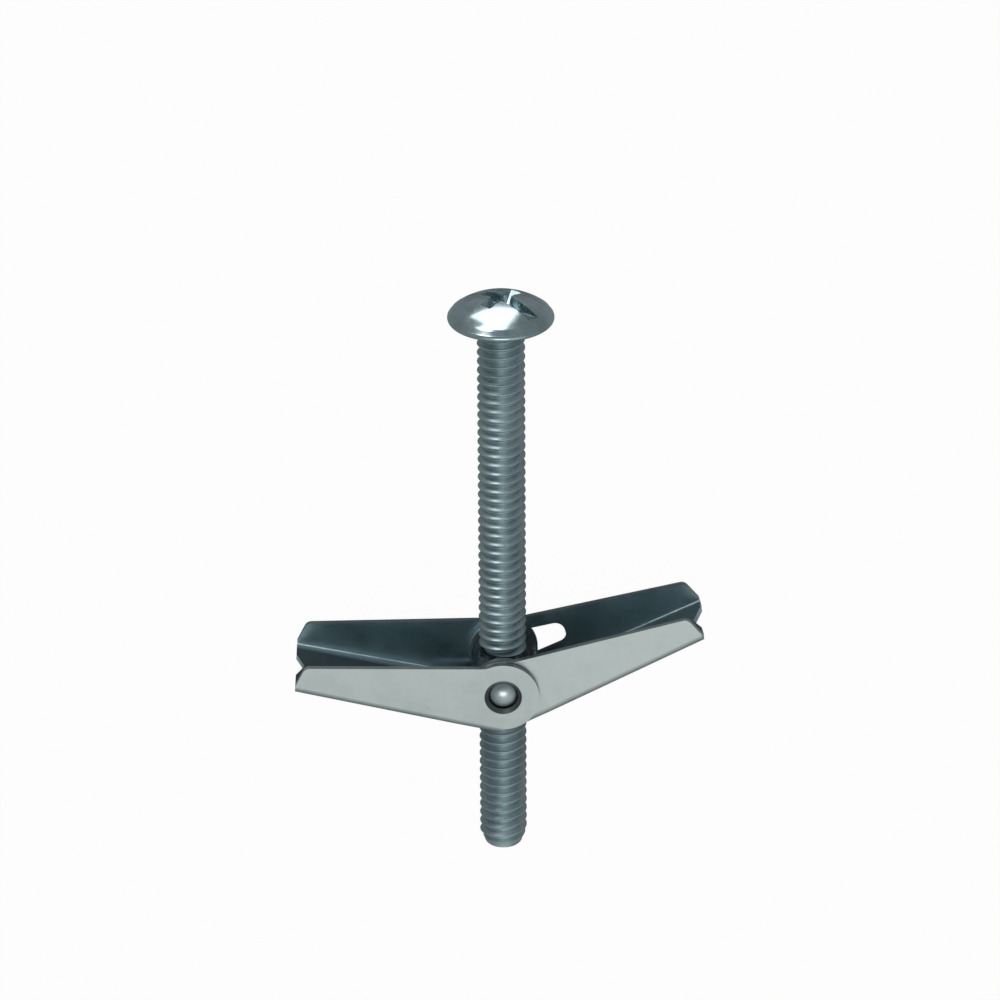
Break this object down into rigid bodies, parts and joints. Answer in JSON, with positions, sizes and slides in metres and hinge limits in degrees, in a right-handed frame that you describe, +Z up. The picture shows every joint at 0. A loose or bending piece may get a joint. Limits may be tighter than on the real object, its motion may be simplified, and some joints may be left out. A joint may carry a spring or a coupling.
{
  "type": "spring toggle bolt",
  "caption": "Mushroom-head machine screw with a cross nut that carries two sprung, folding sheet-metal wings, for fixing to a hollow wall.",
  "frame": {"origin": "middle of the head's bearing face, on the screw's axis", "axes": "+Y along the screw towards the head's top, +X across the open wings to the inner wing's tip, +Z up along the pivots, as the bolt lies"},
  "size_m": [0.0533, 0.0796, 0.0144],
  "materials": {
    "screw": "bright zinc plate over a rolled thread, bluish",
    "nut": "bright zinc plate over turned steel",
    "wings": "bright zinc plate over pressed sheet, satin, bluish",
    "wire": "bright drawn spring wire"
  },
  "bodies": {
    "bolt": {"screw": "screw"},
    "nut": {"nut": "nut", "spring": "wire"},
    "outer_wing": {"outer_wing": "wings"},
    "inner_wing": {"inner_wing": "wings"}
  },
  "joints": [
    {"name": "nut_travel", "type": "slide", "parent": "bolt", "child": "nut", "axis": [0, 1, 0], "range_m": [-0.02032, 0.02286]},
    {"name": "outer_wing_fold", "type": "hinge", "parent": "nut", "child": "outer_wing", "pos_m": [0, -0.0508, 0], "axis": [0, 0, -1], "range_deg": [0, 80], "stiffness_Nm_per_rad": 0.03, "springref_deg": -20.05, "deforming": ["spring"]},
    {"name": "inner_wing_fold", "type": "hinge", "parent": "nut", "child": "inner_wing", "pos_m": [0, -0.0508, 0], "axis": [0, 0, 1], "range_deg": [0, 66], "stiffness_Nm_per_rad": 0.03, "springref_deg": -20.05, "deforming": ["spring"]}
  ]
}
